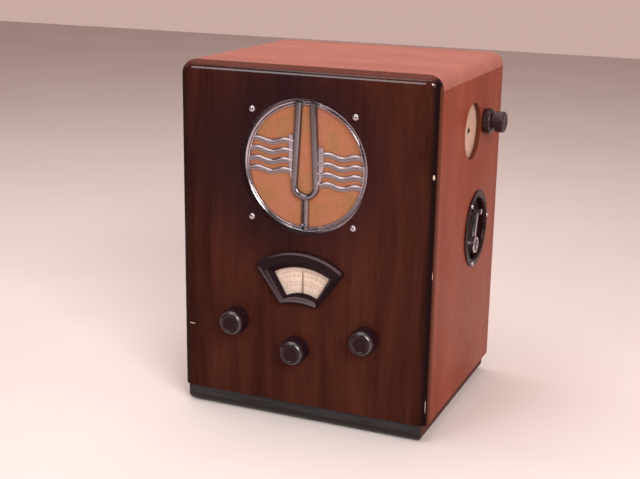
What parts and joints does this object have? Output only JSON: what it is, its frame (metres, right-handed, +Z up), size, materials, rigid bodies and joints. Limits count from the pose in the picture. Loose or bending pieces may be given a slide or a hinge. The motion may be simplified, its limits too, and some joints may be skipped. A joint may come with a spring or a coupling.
{
  "type": "table radio",
  "caption": "Upright flat-topped wooden table radio with a round metal speaker grille, a fan-shaped dial, turning knobs, a side indicator disc and a switch lever.",
  "frame": {"origin": "centre of the base board's underside, on the surface it stands on", "axes": "+X to the listener's right, -Y out of the front, +Z up"},
  "size_m": [0.3462, 0.2908, 0.43],
  "materials": {
    "walnut_front": "high gloss lacquer",
    "walnut_side": "gloss lacquer",
    "walnut_top": "gloss lacquer",
    "ebonised": "gloss",
    "pine": "plain",
    "fibre_board": "matt",
    "steel": "plated",
    "black_steel": "satin",
    "nickel": "nickel plate",
    "cloth": "woven",
    "cone_paper": "matt",
    "copper": "enamelled wire",
    "bakelite": "moulded gloss",
    "knob_bakelite": "moulded gloss",
    "pane": "clear",
    "ivory": "satin",
    "brass": "turned",
    "bulb": "clear",
    "vane": "satin",
    "can": "spun",
    "rubber": "matt",
    "wound_paper": "waxed"
  },
  "bodies": {
    "cabinet": {"front_panel": "walnut_front", "left_side_panel": "walnut_side", "right_side_panel": "walnut_side", "top_panel": "walnut_top", "top_corner_mouldings": "walnut_top", "base_board": "ebonised", "cabinet_battens": "pine", "rear_cover": "fibre_board", "cover_screws": "steel", "speaker_grille": "nickel", "grille_cloth": "cloth", "baffle_board": "pine", "speaker_basket": "black_steel", "speaker_cone": "cone_paper", "voice_coil": "copper", "speaker_magnet": "black_steel", "speaker_bolts": "nickel", "dial_escutcheon": "bakelite", "dial_window": "pane", "dial_scale": "ivory", "dial_plate": "steel", "dial_pillars": "brass", "pilot_lamp": "bulb", "lamp_bracket": "steel", "condenser_frame": "steel", "condenser_stator": "vane", "volume_and_tone_controls": "bakelite", "control_nuts": "nickel", "disc_pivot": "black_steel", "disc_bracket": "steel", "side_dish": "bakelite", "dish_screws": "nickel", "range_switch": "bakelite", "chassis": "steel", "chassis_bolts": "steel", "socket_strip": "fibre_board", "socket_bushes": "brass", "mains_grommet": "rubber", "valve_sockets": "bakelite", "valve_bases": "bakelite", "valve_envelopes": "bulb", "valve_electrodes": "black_steel", "coil_cans": "can", "electrolytic_can": "can", "transformer_core": "black_steel", "transformer_winding": "wound_paper", "output_transformer": "black_steel", "paper_capacitors": "wound_paper"},
    "tuning": {"condenser_rotor": "vane", "tuning_knob": "knob_bakelite", "tuning_pinion": "brass"},
    "pointer": {"dial_pointer": "brass"},
    "volume": {"volume_knob": "knob_bakelite", "volume_spindle": "steel"},
    "tone": {"tone_knob": "knob_bakelite", "tone_spindle": "steel"},
    "side_drive": {"side_knob": "knob_bakelite", "side_drive_spindle": "brass"},
    "indicator": {"indicator_disc": "ivory"},
    "switch_lever": {"side_lever": "nickel"}
  },
  "joints": [
    {"name": "tuning_turn", "type": "hinge", "parent": "cabinet", "child": "tuning", "pos_m": [-0.004, -0.134, 0.09467], "axis": [0, -1, 0], "range_deg": [-90, 90]},
    {"name": "pointer_turn", "type": "hinge", "parent": "cabinet", "child": "pointer", "pos_m": [0, -0.134, 0.1245], "axis": [0, -1, 0], "range_deg": [-30, 30]},
    {"name": "volume_turn", "type": "hinge", "parent": "cabinet", "child": "volume", "pos_m": [-0.0835, -0.134, 0.1205], "axis": [0, -1, 0], "range_deg": [-150, 150]},
    {"name": "tone_turn", "type": "hinge", "parent": "cabinet", "child": "tone", "pos_m": [0.0835, -0.134, 0.1205], "axis": [0, -1, 0], "range_deg": [-150, 150]},
    {"name": "side_knob_turn", "type": "hinge", "parent": "cabinet", "child": "side_drive", "pos_m": [0.16, 0.057, 0.354], "axis": [1, 0, 0], "range_deg": [-150, 150]},
    {"name": "disc_turn", "type": "hinge", "parent": "cabinet", "child": "indicator", "pos_m": [0.154, 0.0065, 0.349], "axis": [1, 0, 0], "range_deg": [-41.25, 41.25]},
    {"name": "lever_turn", "type": "hinge", "parent": "cabinet", "child": "switch_lever", "pos_m": [0.155, 0.046, 0.198], "axis": [1, 0, 0], "range_deg": [-20, 25]}
  ],
  "couplings": [
    {"joint": "pointer_turn", "follows": "tuning_turn", "ratio": -0.33333},
    {"joint": "disc_turn", "follows": "side_knob_turn", "ratio": -0.275}
  ]
}
